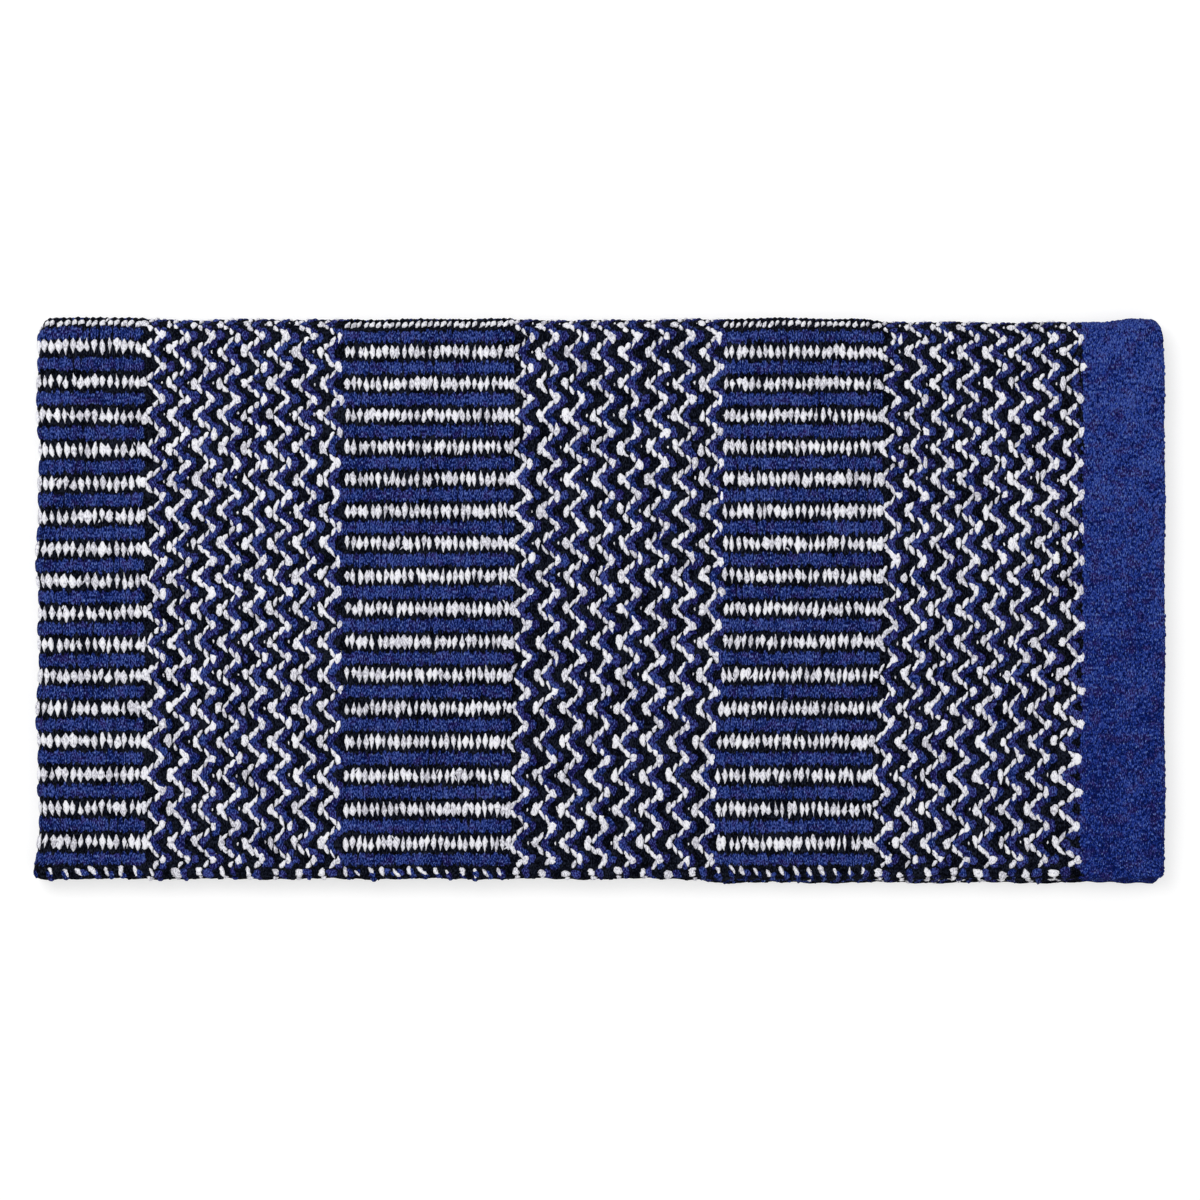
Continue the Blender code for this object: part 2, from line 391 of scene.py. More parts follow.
def settled(x, y, z):
    """The stack as it lies: rounded corners, and edges that wander a little from straight."""
    along = x - FOLD_X
    level = z / PITCH
    from_selvage = y - SELVAGE_Y
    bulge = FOOT_OUT * (1 - ramp(from_selvage, *FOOT_RAMP))
    x = x + (waves(y, level, FOLD_WAVES) - FOLD_OUT - bulge) * (1 - ease(along / END_REACH))
    at_end = waves(y, level, END_WAVES) - END_DRAWN * ramp(from_selvage, *END_RAMP)
    x = x + at_end * ease((along - LENGTH + END_REACH) / END_REACH)

    dip = ramp(along, *DIP_RAMP) - ramp(along, *RISE_RAMP)
    humps = sum(share * np.exp(-(((along - middle) / width) ** 2)) for share, middle, width in HUMPS)
    rise = SPINE_OUT + HUMP * humps - DIP * dip + waves(along, level, SPINE_WAVES)
    y = y + rise * ramp(from_selvage, *SPINE_RAMP)
    drawn = SELVAGE_DRAWN - STEP_OUT * ramp(along, *STEP_RAMP) * ease((STEP_LEVEL - level) / STEP_EASE)
    y = y + (drawn + waves(along, level, SELVAGE_WAVES)) * (1 - ease(from_selvage / SELVAGE_REACH))

    for corner, sizes, way in CORNERS:
        x, y = rounded_corner(x, y, corner, sizes, way)
    return np.stack(np.broadcast_arrays(x, y, z), axis=-1)


def section(along, near, height, back):
    """X, Y before the spine fold, and height over the middle of the pair of leaves.

    near is how far in from the nearer selvage. back says that the point lies on the face that is
    hidden between the two leaves of the pair.
    """
    fold_radius = PAIR_RADIUS - LAYER - height if back else PAIR_RADIUS + height
    edge_radius = EDGE_RADIUS + height
    fold_turn = np.clip((PAIR_RADIUS - along) / PAIR_RADIUS, 0, math.pi)
    end_turn = np.clip((along - LENGTH + EDGE_RADIUS) / EDGE_RADIUS, 0, math.pi)
    edge_turn = np.clip((EDGE_RADIUS - near) / EDGE_RADIUS, 0, math.pi)
    x = FOLD_X + np.clip(along, PAIR_RADIUS, LENGTH - EDGE_RADIUS)
    x = x - fold_radius * np.sin(fold_turn) + edge_radius * np.sin(end_turn)
    y = SELVAGE_Y + np.clip(near, EDGE_RADIUS, FLAT_RUN) - edge_radius * np.sin(edge_turn)
    drop = edge_radius * (1 - np.cos(end_turn) * np.cos(edge_turn))
    lift = fold_radius * np.cos(fold_turn) + (drop if back else -drop)
    return x, y, lift


def place(side, along, across, height, back=False):
    """Points of the folded cloth, apart from the inner side's crease."""
    width = SIDE_WIDTH[side]
    x, y, lift = section(along, np.minimum(across, width - across), height, back)
    if side == INNER:
        return settled(x, y, SPINE_Z + np.where(across < width / 2, 1, -1) * (PITCH - lift))
    turn = np.clip((across - FLAT_RUN) / STACK_RADIUS, 0, math.pi)
    reach = PITCH + lift
    return settled(x, y + reach * np.sin(turn), SPINE_Z + reach * np.cos(turn))


def place_in_fold(along, turn, height, back=False):
    """Points of the inner layer where it turns over the spine."""
    x, y, lift = section(along, FLAT_RUN, height, back)
    reach = PITCH - lift
    return settled(x, y + reach * np.sin(turn), SPINE_Z + reach * np.cos(turn))


def place_in_crease(along, across, height, back=False):
    """Points that lie pressed together in the closed crease and stand as the ridge once it opens."""
    opened = np.clip((across - FLAT_RUN) / (math.pi * RIDGE_RADIUS), 0, 1)
    x, _, lift = section(along, FLAT_RUN, height, back)
    radius = RIDGE_RADIUS - PAIR_RADIUS + lift
    z = CREASE_HIGH - (CREASE_HIGH - CREASE_LOW) * uneased(opened)
    return settled(x, HINGE_Y - radius, z)


def cloth_object(name, points, faces, material, attributes, maps):
    """A mesh piece of the blanket with its attributes and UV maps, linked and shaded smooth."""
    mesh = bpy.data.meshes.new(name)
    mesh.from_pydata(points, [], faces)
    mesh.shade_smooth()
    for attribute, values in attributes.items():
        layer = mesh.attributes.new(attribute, "FLOAT", "POINT")
        layer.data.foreach_set("value", np.ascontiguousarray(values, np.float32).ravel())
    corners = faces.ravel()
    for map_name, places in maps.items():
        layer = mesh.uv_layers.new(name=map_name)
        layer.data.foreach_set("uv", places[corners].astype(np.float32).ravel())
    mesh.materials.append(material)
    piece = bpy.data.objects.new(name, mesh)
    collection = bpy.data.collections.get(COLLECTION)
    if collection is None:
        collection = bpy.data.collections.new(COLLECTION)
        bpy.context.scene.collection.children.link(collection)
    collection.objects.link(piece)
    return piece


def bake_map(cloth):
    """Cloth places spread over the unit square."""
    low, high = cloth.min(axis=0), cloth.max(axis=0)
    return 0.01 + 0.98 * (cloth - low) / (high - low)


def hang(piece, region):
    """Lets a piece move with its region of the cloth."""
    if len(region.bodies) == 1:
        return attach(piece, region.bodies[0])
    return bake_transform(piece)


# Laying the floats

FIELDS = ("along", "across", "length", "width", "lean", "crown", "tip", "bow", "tone")


class Loom:
    """Collects the floats of one side of the cloth, by yarn, with small irregularities."""

    def __init__(self, side, seed):
        self.side = side
        self.random = np.random.default_rng(seed)
        self.floats = {yarn: [] for yarn in YARNS}

    def lay(self, yarn, along, across, shape, loose=1, shade=0):
        """Lays one float. loose scales how far it strays from its place and shape, shade moves its tone."""
        draw = self.random.normal(size=7) * loose
        self.floats[yarn].append(
            (
                along + STRAY_ALONG * draw[0],
                across + STRAY_ACROSS * draw[1],
                shape.length * (1 + STRAY_SIZE * draw[2]),
                shape.width * (1 + STRAY_SIZE * draw[3]),
                math.radians(shape.lean + STRAY_LEAN * draw[4]),
                shape.crown + STRAY_CROWN * draw[5],
                min(max(shape.tip + STRAY_TIP * draw[5], LEAST_TIP), MOST_TIP),
                STRAY_BOW * draw[6],
                self.random.random() + shade,
            )
        )

    def gathered(self, yarn, low, high):
        """The floats of one yarn whose middles lie between two places across the cloth."""
        rows = np.array(self.floats[yarn]).reshape(-1, len(FIELDS))
        kept = rows[(rows[:, 1] >= low) & (rows[:, 1] < high)]
        return {field: kept[:, column : column + 1] for column, field in enumerate(FIELDS)}


def foot_lean(sizes, along, across):
    """How far the bands lean toward the crosswise fold near the upper leaf's selvage.

    The lean grows along the cloth and ends where the border starts.
    """
    row = (sizes.first_row - across) / sizes.row_pitch
    grown = np.clip((along - LEAN_START) / LEAN_GROWTH, 0, 1)
    kept = np.clip((band_spans()[-1][1] + LEAN_OVERRUN - along) / LEAN_END, 0, 1)
    return sizes.foot_lean * (grown * kept) * ramp(row, *LEAN_RAMP)


def row_across(sizes, along, row):
    """How far across the cloth a row of white floats lies.

    Row 0 is the upper leaf's last before the spine fold, and rows count up toward its selvage. On
    the leaf that the folded blanket shows the rows bow a little, and more by the crosswise fold.
    """
    counted = min(max(row, 0), LEAF_ROWS)
    bow = sizes.row_bow * math.sin(math.pi * counted / LEAF_ROWS)
    wave = ROW_WAVE * math.sin(2 * math.pi * counted / WAVE_ROWS)
    shift = ROW_SHIFT - SHIFT_LOSS * counted - wave - bow
    by_fold = (1 - ramp(along, *SHIFT_RAMP)) * ease(row + 1)
    over_spine = sizes.spine_draw * ease(-row)
    return sizes.first_row - sizes.row_pitch * row + bow + shift * by_fold - over_spine


def pinch(row):
    """The share of their length that a row's floats show where the spine fold crowds them."""
    over_spine = SPINE_PINCH * math.exp(-(((row + 1) / SPINE_PINCH_ROWS) ** 4))
    return 1 - PINCH + PINCH * ease(row / PINCH_ROWS) - over_spine


def rows_of(sizes, side):
    """The rows from selvage to selvage, kept clear of the turned edges."""
    last = (SIDE_WIDTH[side] - sizes.first_row - sizes.edge_clear) / sizes.row_pitch
    first = (sizes.first_row - sizes.edge_clear) / sizes.row_pitch
    return range(-int(last), int(first) + 1)


def evenly(start, end, pitch):
    """Middles of as many equal steps as fit best from start to end."""
    count = max(1, round((end - start) / pitch))
    return start + (np.arange(count) + 0.5) * (end - start) / count


def clear_of_edges(side, across, clearance):
    """Whether a float's middle keeps clear of both turned edges."""
    return clearance < across < SIDE_WIDTH[side] - clearance


def lay_stripes(loom, sizes, start, end):
    """Rows of white floats with felted blue rows between them and black yarn where they meet."""
    by_fold = start < CREST + PAIR_RADIUS
    crest = CREST + (CREST_CLEAR if loom.side == OUTER else -CREST_CLEAR)
    pitch = sizes.white_pitch * (CREST_PITCH_SHARE if by_fold else 1)
    whites = evenly(crest if by_fold else start + WHITE_START, end - WHITE_STOP, pitch)
    blues = evenly(crest if by_fold else start + BLUE_START, end - BLUE_STOP * by_fold, sizes.blue_pitch)
    half = (whites[1] - whites[0]) / 2
    rows = rows_of(sizes, loom.side)
    for row in rows:
        pinched = pinch(row)
        white_lean = SPINE_LEAN if row == -1 and loom.side == OUTER else 0
        for along in whites:
            across = row_across(sizes, along, row)
            share = loom.random.choice(WHITE_WIDTHS, p=WHITE_ODDS)
            length, width = WHITE_FLOAT.length * pinched, share * pitch * min(pinched + UNPINCHED_WIDTH, 1)
            white = WHITE_FLOAT._replace(length=length, width=width, lean=white_lean)
            loom.lay("white_stripes", along, across, white)
            for way, lift in ((-1, 0), (1, BLACK_LIFT * (1 - pinched))):
                black = BLACK_FLOAT._replace(crown=BLACK_FLOAT.crown + lift, lean=way * BLACK_FLOAT.lean)
                loom.lay("black_stripes", along + half, across + way * BLACK_SHIFT, black)
            if loom.random.random() < HAIR_SHARE:
                hair = HAIR._replace(lean=loom.random.uniform(-HAIR_LEAN, HAIR_LEAN))
                near = across + loom.random.uniform(-HAIR_STRAY, HAIR_STRAY)
                loom.lay("white_stripes", along + half, near, hair)
    for middle in (rows[0] + 0.5, rows[0] - 0.5, *(row + 0.5 for row in rows[1:])):
        for along in blues:
            across = row_across(sizes, along, middle)
            if clear_of_edges(loom.side, across, sizes.edge_clear):
                blue = BLUE_FLOAT._replace(crown=loom.random.uniform(*BLUE_CROWNS))
                loom.lay("blue_stripes", along, across, blue, BLUE_LOOSE)


def lay_line(loom, sizes, yarn, steps, kink, rows, limits):
    """One zigzag line of one yarn. kink is where its left kinks lie along the cloth."""
    low, high = limits
    for row in rows:
        for reach, down, shape in steps:
            for way in (1, -1) if 0 < down < 0.5 else (1,):
                middle = row + way * down
                along = kink + reach
                across = row_across(sizes, along, middle)
                inside = low <= along <= high + KINK_OVERRUN * (1 - 2 * down)
                if inside and clear_of_edges(loom.side, across, sizes.zigzag_clear):
                    here = shape._replace(length=shape.length * pinch(middle), lean=-way * shape.lean)
                    loom.lay(yarn, along, across, here, LINE_LOOSE)


def lay_zigzags(loom, sizes, start, end, clear):
    """Pointed twill lines in the order white, blue, black, black. clear is the last line's from the end."""
    by_border = end == band_spans()[-1][1]
    first_kink = start + FIRST_LINE
    pitch = (end - LINE_REACH - clear - first_kink) / (LINES - 1)
    limits = (start + LINE_BLACKS, end - (BLACK_STOP if by_border else 0))
    rows = rows_of(sizes, loom.side)
    rows = range(rows[0] - 1, rows[-1] + 2)
    for line in range(-1, LINES):
        kink = first_kink + line * pitch
        if line >= 0:
            lay_line(loom, sizes, "white_zigzags", WHITE_LINE, kink, rows, (0, LENGTH))
        lay_line(loom, sizes, "blue_zigzags", BLUE_LINE, kink, rows, (start + LINE_BLUES, end))
        for further in (0, SECOND_BLACK):
            steps = [(reach + further, *rest) for reach, *rest in BLACK_LINE]
            lay_line(loom, sizes, "black_zigzags", steps, kink, rows, limits)
        specks = [(loom.random.uniform(*SPECK_ALONG), 0, SPECK)]
        some = [row for row in rows if loom.random.random() < SPECK_SHARE]
        if line > 0:
            lay_line(loom, sizes, "white_zigzags", specks, kink, some, limits)


def lay_border(loom, sizes, start):
    """Fine staggered grain, carried on round the finished end and the selvages.

    It is a little lighter at the spine than at the selvages.
    """
    width = SIDE_WIDTH[loom.side]
    columns = np.arange(start + GRAIN_START, LENGTH + GRAIN_ROUND, sizes.grain_pitch)
    for column, along in enumerate(columns):
        steps = np.arange(-GRAIN_ROUND, width + GRAIN_ROUND, sizes.grain_length)
        sunk = GRAIN_SUNK * (column % 4 == 0)
        high = GRAIN_END_HIGH if along > LENGTH - GRAIN_END else GRAIN_HIGH
        for across in steps + (column % 2) * sizes.grain_length / 2:
            crown = sunk + loom.random.uniform(GRAIN_LOW, high)
            grain = GRAIN_FLOAT._replace(crown=crown, lean=loom.random.uniform(-GRAIN_LEAN, GRAIN_LEAN))
            shade = SPINE_SHADE - SHADE_LOSS * abs(1 - 2 * across / width)
            loom.lay("border_grain", along, across, grain, GRAIN_LOOSE, shade)


def lay_turns(loom, sizes, kind, start, end):
    """The wefts' turns round both selvages, in the order of the band's yarns."""
    striped = kind == "stripe"
    turns, suffix = (STRIPE_TURNS, "stripes") if striped else (ZIGZAG_TURNS, "zigzags")
    pitch = sizes.stripe_turn_pitch if striped else sizes.zigzag_turn_pitch
    for selvage, way in ((0, 1), (SIDE_WIDTH[loom.side], -1)):
        for turn in evenly(max(start, CREST - pitch / 2), end, pitch):
            for yarn, share, inward, shape in turns:
                stray = loom.random.uniform(-TURN_STRAY, TURN_STRAY)
                along = turn + (share + TURNS_START) * pitch + stray
                lean = way * (shape.lean + loom.random.uniform(-TURN_LEAN, TURN_LEAN))
                chip = striped and yarn == "white"
                if not chip or along > WHITE_TURNS_START:
                    turned = shape._replace(lean=lean)
                    loom.lay(f"{yarn}_{suffix}", along, selvage + way * inward, turned, TURN_LOOSE)
                if not chip:
                    crown = shape.crown + loom.random.uniform(0, ROUND_CROWN)
                    round_edge = Float(ROUND_LENGTH, shape.width * ROUND_WIDTH_SHARE, crown, lean=lean)
                    across = selvage - way * ROUND_OUT
                    loom.lay(f"{yarn}_{suffix}", along + ROUND_ALONG * way, across, round_edge)


def float_shape(steps):
    """A float's patch before it is bent: places of its points, from -1 to 1, and its faces."""
    grid = bmesh.new()
    bmesh.ops.create_grid(grid, x_segments=steps[0], y_segments=steps[1], size=1)
    points = np.array([vertex.co[:2] for vertex in grid.verts])
    faces = np.array([[vertex.index for vertex in face.verts] for face in grid.faces])
    grid.free()
    return points, faces


def weave(sizes, region, yarn, floats):
    """Bends one patch over the cloth for each float and joins them in one piece."""
    slot, finish_name, levels = YARNS[yarn]
    shape, patch = float_shape(levels[region.detail])
    count = len(floats["along"])
    if count == 0:
        return
    random = np.random.default_rng(len(region.name) * 100 + len(yarn) + count)
    lengthwise, turn = shape[None, :, 0], shape[None, :, 1] * math.pi / 2
    uneven = np.clip(random.normal(0, UNEVEN, size=(count, 1)), -MOST_UNEVEN, MOST_UNEVEN)
    belly = lengthwise + uneven * (1 - lengthwise**2)
    squareness, sharpness = 4.5 - 3 * floats["tip"], 0.45 + 0.55 * floats["tip"]
    taper = (1 - np.abs(belly) ** squareness) ** sharpness
    felt = random.normal(size=(count, len(shape)))
    swell = (1 - np.abs(lengthwise) ** 3) ** 0.7
    rise = np.broadcast_to(swell * (EDGE_RISE + (1 - EDGE_RISE) * np.cos(turn)), felt.shape)
    yarn_across = floats["width"] / 2 * taper * np.sin(turn) * (1 + FELT_WIDTH * felt)
    sideways = yarn_across + floats["bow"] * (1 - lengthwise**2)
    onward = floats["length"] / 2 * lengthwise
    cosine, sine = np.cos(floats["lean"]), np.sin(floats["lean"])
    along = floats["along"] + sideways * cosine + onward * sine
    across = floats["across"] + onward * cosine - sideways * sine
    along = along - foot_lean(sizes, along, across)
    foot = -FOOT_DEPTH
    stand = (floats["crown"] - region.lower - foot) * rise
    height = foot + stand * (1 + FELT_HEIGHT * np.roll(felt, 1))
    put = place_in_crease if region is CREASE else lambda *where: place(region.side, *where)
    points = put(along, across, height).reshape(-1, 3)

    if region.side == OUTER:
        patch = patch[:, ::-1]
    faces = (patch[None] + np.arange(count)[:, None, None] * len(shape)).reshape(-1, 4)
    cloth = np.stack([along, across], axis=-1).reshape(-1, 2)
    strand = np.stack([onward + floats["tone"] * 7, yarn_across + floats["tone"] * 3], axis=-1)
    piece = cloth_object(
        f"{region.name}_{yarn}",
        points,
        faces,
        finish(finish_name),
        # depth is 0 at a float's crown and 1 at its foot; the finish paints shade down the flanks by it.
        {"tone": np.broadcast_to(floats["tone"], rise.shape), "depth": 1 - rise},
        {"OFBake": bake_map(cloth), "Cloth": cloth, "Strand": strand.reshape(-1, 2)},
    )
    hang(piece, region)


def region_span(region):
    """Where a region lies across its side of the cloth."""
    width = SIDE_WIDTH[region.side]
    low, high = FLAT_RUN - REGION_MARGIN, width - FLAT_RUN + REGION_MARGIN
    if len(region.bodies) == 2:
        return low, high
    return (-1, low) if region.bodies[0] == UPPER else (high, width + 1)


# The ground cloth


def thick_cloth(name, front, back, flip, cloth):
    """A closed sheet of ground cloth from the grids of points of its two faces."""
    rows, columns = front.shape[:2]
    grid = np.arange(rows * columns).reshape(rows, columns)
    quads = np.stack([grid[:-1, :-1], grid[1:, :-1], grid[1:, 1:], grid[:-1, 1:]], axis=-1).reshape(-1, 4)
    rim = np.concatenate([grid[:, 0], grid[-1, 1:], grid[-2::-1, -1], grid[0, -2:0:-1]])
    following = np.roll(rim, -1)
    sides = np.stack([following, rim, rim + grid.size, following + grid.size], axis=-1)
    faces = np.concatenate([quads, quads[:, ::-1] + grid.size, sides])
    if flip:
        faces = faces[:, ::-1]
    points = np.concatenate([front.reshape(-1, 3), back.reshape(-1, 3)])
    cloth = cloth.reshape(-1, 2)
    baked = bake_map(cloth)
    halves = np.concatenate([baked * (0.5, 1), baked * (0.5, 1) + (0.5, 0)])
    return cloth_object(
        name,
        points,
        faces,
        finish("ground_wool"),
        {"tone": np.full(len(points), 0.5), "depth": np.zeros(len(points))},
        {"OFBake": halves, "Cloth": np.tile(cloth, (2, 1))},
    )


def stations(start, end):
    """Even stations from start to end."""
    return np.linspace(start, end, round((end - start) / GROUND_STEP) + 1)


def leaf_stations():
    """Stations along a leaf from the crest of the crosswise fold to the middle of its rounded end."""
    fold = np.linspace(CREST, PAIR_RADIUS, 9)
    flat = stations(PAIR_RADIUS, LENGTH - EDGE_RADIUS)
    end = np.linspace(LENGTH - EDGE_RADIUS, LENGTH - EDGE_RADIUS + EDGE_RADIUS * math.pi / 2, 7)
    return np.concatenate([fold, flat[1:], end[1:]])


def lumpy(along, across, height):
    """The ground's surface with the swell of the warps and of the wefts in it."""
    warps = WARP_SWELL * (1 + np.sin(across * WARP_RATE))
    return height - warps - WEFT_SWELL * np.sin(along * WEFT_RATE + across * WEFT_SLANT)


def ground_half(half):
    """Both leaves of one half, joined round the crosswise fold."""
    along = leaf_stations()
    edge = np.linspace(EDGE_RADIUS - EDGE_RADIUS * math.pi / 2, EDGE_RADIUS, 6)
    near = np.concatenate([edge, stations(EDGE_RADIUS, FLAT_RUN)[1:]])
    fronts, backs, cloths = [], [], []
    for side, run in ((OUTER, along[::-1]), (INNER, along[1:])):
        across = near if half == UPPER else SIDE_WIDTH[side] - near
        grid_along, grid_across = np.meshgrid(run, across, indexing="ij")
        height = lumpy(grid_along, grid_across, -GROUND_DEPTH)
        fronts.append(place(side, grid_along, grid_across, height))
        backs.append(place(side, grid_along, grid_across, -BACK_SKIN, back=True))
        way = 1 if side == OUTER else -1
        cloths.append(np.stack([way * (grid_along - CREST), grid_across], axis=-1))
    front, back, cloth = (np.concatenate(parts) for parts in (fronts, backs, cloths))
    piece = thick_cloth(f"{half}_ground", front, back, half == UPPER, cloth)
    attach(piece, half)
    names = [*(band.name for band in BANDS), "selvage"]
    nodes = [f"{leaf}_{name}" for leaf in LEAVES[half] for name in names]
    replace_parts(piece, *nodes, f"{half.split('_')[0]}_cross_fold")


def ground_spine(layer, side):
    """One layer of the cloth where it turns over the spine."""
    grid_along, grid_turn = np.meshgrid(leaf_stations(), np.linspace(0, math.pi, 25), indexing="ij")
    if side == OUTER:
        across = FLAT_RUN + grid_turn * STACK_RADIUS
        front = place(OUTER, grid_along, across, lumpy(grid_along, across, -GROUND_DEPTH))
        back = place(OUTER, grid_along, across, -BACK_SKIN, back=True)
    else:
        across = FLAT_RUN + grid_turn * PITCH / 2
        front = place_in_fold(grid_along, grid_turn, -GROUND_DEPTH)
        back = place_in_fold(grid_along, grid_turn, -BACK_SKIN, back=True)
    cloth = np.stack([grid_along - CREST, across], axis=-1)
    piece = thick_cloth(f"{layer}_ground", front, back, side == INNER, cloth)
    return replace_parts(piece, *(f"{layer}_{band.name}" for band in BANDS))


def ground_crease():
    """The inner layer's ground in the crease, which stands as the ridge once the blanket opens."""
    across = FLAT_RUN + np.linspace(0, 1, 33) * math.pi * RIDGE_RADIUS
    grid_along, grid_across = np.meshgrid(leaf_stations(), across, indexing="ij")
    front = place_in_crease(grid_along, grid_across, -GROUND_DEPTH)
    back = place_in_crease(grid_along, grid_across, -BACK_SKIN, back=True)
    cloth = np.stack([grid_along - CREST, grid_across], axis=-1)
    return thick_cloth("crease_ground", front, back, False, cloth)


# Finishes

DYES_AND_LIGHT = ("Deep", "Body", "Bright", "Tinge", "Stray")


class Finish(NamedTuple):
    """A finish: the properties with its five colours, and how stray fibres, painted shade down the flanks,
    grain and shine show.
    """

    colours: tuple
    stray_share: float = 0
    flank_shade: float = 0
    grain: float = 4
    shine: float = 0.02


BLACKS = ("jet", "black", "charcoal", "black", "charcoal")
BORDERS = ("border_deep", "border", "border_bright", "purple", "sky")
FINISHES = {
    # The ground has the black yarn's colours; where it shows between the floats its darkness is painted shade
    # as well.
    "ground_wool": Finish(BLACKS),
    "black_wool": Finish(BLACKS, 0, 0.2, 4, 0.01),
    "white_wool": Finish(("grey", "white", "pale", "white", "grey"), 0, 0.3, 2.5, 0.1),
    "blue_wool": Finish(("navy", "blue", "bright_blue", "purple", "sky"), 0.35, 0.5, 5, 0.03),
    "violet_wool": Finish(("navy", "purple", "bright_blue", "blue", "sky"), 0.33, 0.6, 5, 0.03),
    "border_wool": Finish(BORDERS, 0.35, 0.35, 3.6, 0.03),
}
GROUND_BORDER_START = 0.0010


def set_inputs(tree, node, inputs):
    """Gives a value or a link to each input that is named."""
    for socket, value in dict(inputs).items():
        if isinstance(value, bpy.types.NodeSocket):
            tree.links.new(value, node.inputs[socket])
        else:
            node.inputs[socket].default_value = value


def add_node(tree, kind, inputs=(), **settings):
    """A node with its settings and inputs."""
    node = tree.nodes.new(f"ShaderNode{kind}")
    for setting, value in settings.items():
        setattr(node, setting, value)
    set_inputs(tree, node, inputs)
    return node


def maths(tree, operation, *values):
    """The result of a Math node."""
    return add_node(tree, "Math", enumerate(values), operation=operation).outputs[0]


def spread(tree, value, pattern, amount):
    """A value moved up and down by a pattern that lies round one half."""
    centred = maths(tree, "SUBTRACT", pattern, 0.5)
    return add_node(tree, "Math", {0: centred, 1: amount, 2: value}, operation="MULTIPLY_ADD").outputs[0]


def blended(tree, share, first, second):
    """Two colours mixed by a share."""
    node = add_node(tree, "Mix", {"Factor": share, 6: first, 7: second}, data_type="RGBA")
    return node.outputs[2]


def noise(tree, vector, scale, detail, roughness=0.5):
    """The value of a Noise Texture."""
    inputs = {"Vector": vector, "Scale": scale, "Detail": detail, "Roughness": roughness}
    return add_node(tree, "TexNoise", inputs).outputs[0]


def new_group(name, inputs, outputs):
    """An empty shader group, and the sockets it is given and gives. inputs says their usual values."""
    group = bpy.data.node_groups.new(name, "ShaderNodeTree")
    for socket, usual in inputs.items():
        kind = "NodeSocketColor" if isinstance(usual, tuple) else "NodeSocketFloat"
        group.interface.new_socket(name=socket, in_out="INPUT", socket_type=kind).default_value = usual
    for socket in outputs:
        kind = "NodeSocketColor" if socket == "Color" else "NodeSocketFloat"
        group.interface.new_socket(name=socket, in_out="OUTPUT", socket_type=kind)
    return group, group.nodes.new("NodeGroupInput").outputs, group.nodes.new("NodeGroupOutput").inputs


def strand_group():
    """Fibres that run along the yarn with a soft twist, and their relief with the felt's small lumps."""
    inputs = {"Fibre": 1150.0, "Twist": 0.45, "Lump": 700.0}
    group, given, out = new_group("Wool strands", inputs, ("Strand", "Height"))
    yarn =add_node(group, "UVMap", uv_map="Strand").outputs[0]
    parts = add_node(group, "SeparateXYZ", {0: yarn}).outputs
    twisted = maths(group, "ADD", parts[1], maths(group, "MULTIPLY", parts[0], given["Twist"]))
    stretched = maths(group, "MULTIPLY", parts[0], 0.16)
    place_on = add_node(group, "CombineXYZ", {0: stretched, 1: twisted}).outputs[0]
    fibres = noise(group, place_on, given["Fibre"], 3.0, 0.6)
    lumps = noise(group, yarn, given["Lump"], 2.0)
    group.links.new(fibres, out["Strand"])
    both = maths(group, "ADD", fibres, maths(group, "MULTIPLY", lumps, 1.4))
    group.links.new(both, out["Height"])
    return group


def dye_and_light_group():
    """The yarn's dye, each float a little different, with stray fibres, painted highlights and painted flank
    shade.
    """
    inputs = {colour_input: (0.5, 0.5, 0.5, 1) for colour_input in DYES_AND_LIGHT}
    inputs |= {"Strand": 0.5, "Stray Share": 0.0, "Flank": 0.6, "Grain": 4.0}
    group, given, out = new_group("Dyed wool", inputs, ("Color", "Roughness"))
    tone =add_node(group, "Attribute", attribute_name="tone").outputs["Fac"]
    depth = add_node(group, "Attribute", attribute_name="depth").outputs["Fac"]
    cloth = add_node(group, "UVMap", uv_map="Cloth").outputs[0]
    upright = add_node(group, "VectorMath", {0: cloth, 1: (1.5, 0.65, 1.0)}, operation="MULTIPLY")
    patches = noise(group, cloth, 45.0, 3.0)
    grain = noise(group, upright.outputs[0], 760.0, 1.0)
    tinges = noise(group, cloth, 120.0, 2.0)
    vivid = spread(group, 0.46, tone, 0.45)
    vivid = spread(group, vivid, patches, 1.0)
    vivid = spread(group, vivid, given["Strand"], 1.5)
    vivid = spread(group, vivid, grain, given["Grain"])
    doubled = maths(group, "MULTIPLY", vivid, 2.0)
    body = blended(group, spread(group, 0.1, tinges, 8.0), given["Body"], given["Tinge"])
    dark = blended(group, doubled, given["Deep"], body)
    # Painted highlights: the highest tones go to the Bright colour, where the fibres catch the light.
    lit = blended(group, maths(group, "SUBTRACT", doubled, 1.0), dark, given["Bright"])
    # Painted shade: down each float's flanks the colour darkens toward Deep.
    flank_shade = maths(group, "MULTIPLY", maths(group, "POWER", depth, 2.0), given["Flank"])
    shaded = blended(group, flank_shade, lit, given["Deep"])
    beyond = maths(group, "SUBTRACT", grain, maths(group, "SUBTRACT", 1.0, given["Stray Share"]))
    stray = maths(group, "MULTIPLY", beyond, 9.0)
    group.links.new(blended(group, stray, shaded, given["Stray"]), out["Color"])
    rough = maths(group, "SUBTRACT", 1.0, maths(group, "MULTIPLY", given["Strand"], 0.22))
    group.links.new(rough, out["Roughness"])
    return group


def border_on(tree, dyed_and_lit, blue):
    """The ground's colour, with the border's blue from where the border starts."""
    cloth = add_node(tree, "UVMap", uv_map="Cloth").outputs[0]
    along = maths(tree, "ABSOLUTE", add_node(tree, "SeparateXYZ", {0: cloth}).outputs[0])
    border_start = band_spans()[-1][1] - CREST + GROUND_BORDER_START
    in_border = maths(tree, "GREATER_THAN", along, border_start)
    return blended(tree, in_border, dyed_and_lit, (*blue, 1))


